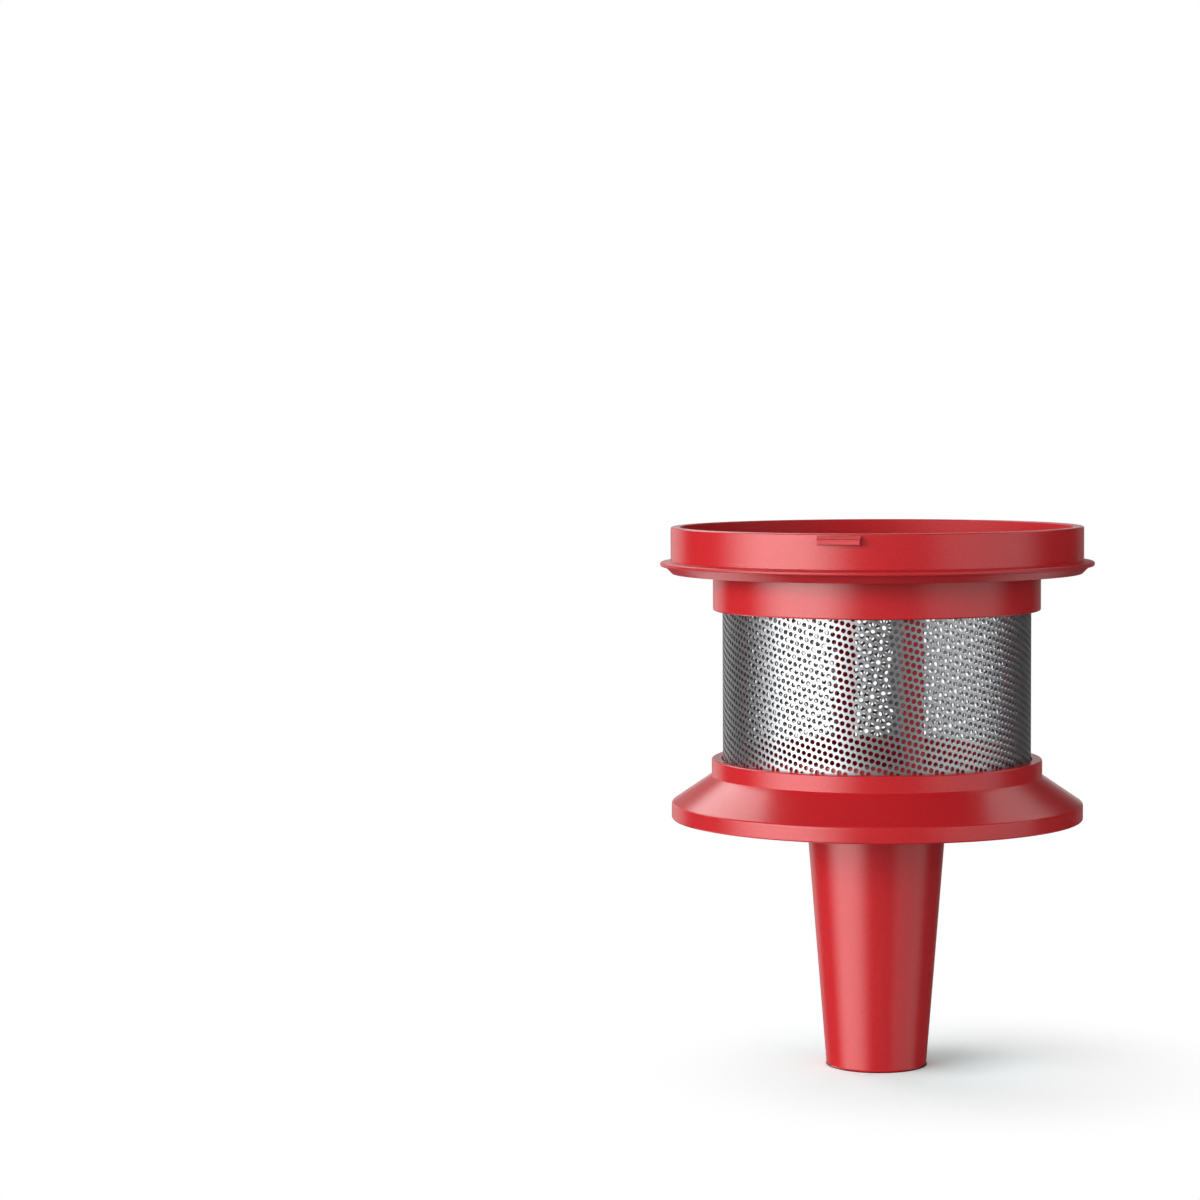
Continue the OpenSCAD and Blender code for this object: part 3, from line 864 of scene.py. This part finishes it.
def light_patch():
    """Node group: a soft-edged pale patch of the studio, by its turn, width and height."""
    group, entry, leave = new_group(
        "Light patch", "ShaderNodeTree",
        [("Direction", "NodeSocketVector", None),
         ("Centre", "NodeSocketVector", None),
         ("Half Width", "NodeSocketFloat", 0.6),
         ("Low", "NodeSocketFloat", 0),
         ("High", "NodeSocketFloat", 0.8),
         ("Side Softness", "NodeSocketFloat", 0.1),
         ("Height Softness", "NodeSocketFloat", 0.1),
         ("Brightness", "NodeSocketFloat", 1)],
        [("Level", "NodeSocketFloat")])
    split = add_node(group, "ShaderNodeSeparateXYZ")
    join(group, entry.outputs["Direction"], split.inputs[0])
    level = add_node(group, "ShaderNodeCombineXYZ")
    join(group, split.outputs["X"], level.inputs["X"])
    join(group, split.outputs["Y"], level.inputs["Y"])
    unit = add_node(group, "ShaderNodeVectorMath", operation="NORMALIZE")
    join(group, level.outputs[0], unit.inputs[0])
    toward = add_node(group, "ShaderNodeVectorMath", operation="DOT_PRODUCT")
    join(group, unit.outputs[0], toward.inputs[0])
    join(group, entry.outputs["Centre"], toward.inputs[1])
    turn = calculate(group, "ARCCOSINE", toward.outputs["Value"])
    height = calculate(group, "ARCSINE", calculate(group, "ABSOLUTE", split.outputs["Z"]))
    total = entry.outputs["Brightness"]
    for angle, limit, softness, inside, outside in (
            (turn, "Half Width", "Side Softness", 1, 0),
            (height, "High", "Height Softness", 1, 0),
            (height, "Low", "Height Softness", 0, 1)):
        edge = add_node(group, "ShaderNodeMapRange", interpolation_type="SMOOTHSTEP")
        join(group, angle, edge.inputs["Value"])
        join(group, calculate(group, "SUBTRACT", entry.outputs[limit], entry.outputs[softness]),
             edge.inputs["From Min"])
        join(group, calculate(group, "ADD", entry.outputs[limit], entry.outputs[softness]),
             edge.inputs["From Max"])
        edge.inputs["To Min"].default_value = inside
        edge.inputs["To Max"].default_value = outside
        total = calculate(group, "MULTIPLY", total, edge.outputs["Result"])
    join(group, total, leave.inputs["Level"])
    return group


# Patches of the studio round the filter: turn from the camera, the angles named in
# PATCH_ANGLES, all in degrees, and brightness
PATCH_ANGLES = ("Half Width", "Side Softness", "Low", "High", "Height Softness")
PATCHES = {
    "key": (-52.5, 28.5, 20, -30, 24, 4, 8.0),
    "fill": (63, 31, 14, -30, 25, 4, 1.75),
    "behind right": (127, 26, 12, 32, 57, 2, 1.4),
    "low left": (-149, 15, 5, -14, 14, 5, 0.9),
    "low right": (163, 17, 5, -14, 14, 5, 0.2),
    "camera side": (0, 34, 14, -20, 60, 12, 0.34),
}
# White background behind the filter, as gloss and metal show it
BACKDROP = (180, 12, 5, -30, 8, 4, 1)
# Level of the studio between the patches
DARK_LEVEL = 0.03


def patch_level(tree, patch_group, direction, label, settings):
    """Adds one patch of the studio and returns its level."""
    turn, *angles, brightness = settings
    patch = add_node(tree, "ShaderNodeGroup", node_tree=patch_group, label=label)
    join(tree, direction, patch.inputs["Direction"])
    patch.inputs["Centre"].default_value = around_axis(CAMERA_TURN + math.radians(turn), 1, 0)
    for socket_name, angle in zip(PATCH_ANGLES, angles):
        patch.inputs[socket_name].default_value = math.radians(angle)
    patch.inputs["Brightness"].default_value = brightness
    return patch.outputs["Level"]


def studio_world():
    """World with pale patches round the filter. It is white to the camera and through clear
    pieces, and to gloss where that white background stands behind the filter."""
    world = bpy.data.worlds.new("Studio")
    scene.world = world
    world.use_nodes = True
    tree = world.node_tree
    background = tree.nodes["Background"]
    background.inputs["Color"].default_value = (1, 1, 1, 1)
    direction = add_node(tree, "ShaderNodeTexCoord").outputs["Generated"]
    patch_group = light_patch()
    level = DARK_LEVEL
    for label, settings in PATCHES.items():
        patch = patch_level(tree, patch_group, direction, label, settings)
        level = calculate(tree, "MAXIMUM", patch, level)
    path = add_node(tree, "ShaderNodeLightPath")
    backdrop = patch_level(tree, patch_group, direction, "backdrop", BACKDROP)
    white = calculate(tree, "MULTIPLY", path.outputs["Is Glossy Ray"], backdrop)
    for ray in ("Is Camera Ray", "Is Transmission Ray"):
        white = calculate(tree, "MAXIMUM", path.outputs[ray], white)
    join(tree, calculate(tree, "MAXIMUM", level, white), background.inputs["Strength"])


studio_world()


# Floor as the camera sees it: its brightness, where its shadows fade out, the painted shadow beside the foot
# and along its edge, and the red bounce light painted out round it. Each reach is a pair of distances from its
# centre.
FLOOR_ALBEDO = 1.66
FLOOR_BOUNCE = 0.55
SHADOW_CENTRE = (0.020, -0.003, 0)
SHADOW_REACH = (0.018, 0.078)
# Painted shadow beside the foot, in the floor's colour
SHADE_CENTRE = (0.0141, 0.0065, 0)
SHADE_REACH = (0.001, 0.022)
SHADE_LEVELS = (0.73, 1)
# Red bounce light from the filter painted out of the floor's colour round the foot
RED_CENTRE = (-0.004, -0.002, 0)
RED_REACH = (0.014, 0.062)
RED_LEVELS = (0.78, 0.955)
# Painted shadow: a dark line in the floor's colour where the foot meets it
FOOT_SHADOW_CENTRE = (0, 0, 0)
FOOT_SHADOW_REACH = (FOOT_RADIUS, FOOT_RADIUS + 0.45 * MM)


def fade(tree, place, centre, reach, levels=(0, 1), interpolation="LINEAR"):
    """Value that goes from one level to another over a reach of distances from a centre."""
    distance = add_node(tree, "ShaderNodeVectorMath", operation="DISTANCE")
    join(tree, place.outputs["Object"], distance.inputs[0])
    distance.inputs[1].default_value = centre
    value = add_node(tree, "ShaderNodeMapRange", interpolation_type=interpolation)
    join(tree, distance.outputs["Value"], value.inputs["Value"])
    value.inputs["From Min"].default_value, value.inputs["From Max"].default_value = reach
    value.inputs["To Min"].default_value, value.inputs["To Max"].default_value = levels
    return value.outputs["Result"]


def pale_floor():
    """Matt floor that keeps soft shadows and is white to the camera where nothing shades it. To the camera it also
    has painted shadow beside the foot and along its edge, and the red bounce light painted out round it.
    """
    bpy.ops.mesh.primitive_plane_add(size=8)
    floor = bpy.context.object
    floor.name = "Floor"
    material = bpy.data.materials.new("Pale floor")
    material.use_nodes = True
    tree = material.node_tree
    tree.nodes.remove(tree.nodes["Principled BSDF"])
    path = add_node(tree, "ShaderNodeLightPath")
    place = add_node(tree, "ShaderNodeTexCoord")

    # Painted shadow beside the foot
    beside = fade(tree, place, SHADE_CENTRE, SHADE_REACH, SHADE_LEVELS)
    # Painted shadow along the foot's edge
    outside = fade(tree, place, FOOT_SHADOW_CENTRE, FOOT_SHADOW_REACH)
    pale = calculate(tree, "MULTIPLY", calculate(tree, "MULTIPLY", beside, outside), FLOOR_ALBEDO)
    # Red channel lowered round the foot: the red light the filter throws on the floor is painted out
    less_red = fade(tree, place, RED_CENTRE, RED_REACH, RED_LEVELS)
    seen_colour = add_node(tree, "ShaderNodeCombineColor")
    join(tree, calculate(tree, "MULTIPLY", pale, less_red), seen_colour.inputs["Red"])
    join(tree, pale, seen_colour.inputs["Green"])
    join(tree, pale, seen_colour.inputs["Blue"])
    colour = add_node(tree, "ShaderNodeMix", data_type="RGBA")
    colour.inputs["A"].default_value = (FLOOR_BOUNCE, FLOOR_BOUNCE, FLOOR_BOUNCE, 1)
    join(tree, path.outputs["Is Camera Ray"], colour.inputs["Factor"])
    join(tree, seen_colour.outputs["Color"], colour.inputs["B"])
    matt = add_node(tree, "ShaderNodeBsdfDiffuse")
    join(tree, colour.outputs["Result"], matt.inputs["Color"])

    away = fade(tree, place, SHADOW_CENTRE, SHADOW_REACH, interpolation="SMOOTHSTEP")
    white = add_node(tree, "ShaderNodeEmission")
    faded = add_node(tree, "ShaderNodeMixShader")
    join(tree, calculate(tree, "MULTIPLY", away, path.outputs["Is Camera Ray"]), faded.inputs[0])
    join(tree, matt.outputs[0], faded.inputs[1])
    join(tree, white.outputs[0], faded.inputs[2])

    mirror = add_node(tree, "ShaderNodeBsdfGlossy")
    mirror.inputs["Color"].default_value = (0.8, 0.8, 0.8, 1)
    mirror.inputs["Roughness"].default_value = 0
    seen = add_node(tree, "ShaderNodeMixShader")
    join(tree, path.outputs["Is Glossy Ray"], seen.inputs[0])
    join(tree, faded.outputs[0], seen.inputs[1])
    join(tree, mirror.outputs[0], seen.inputs[2])
    join(tree, seen.outputs[0], tree.nodes["Material Output"].inputs["Surface"])
    floor.data.materials.append(material)


pale_floor()
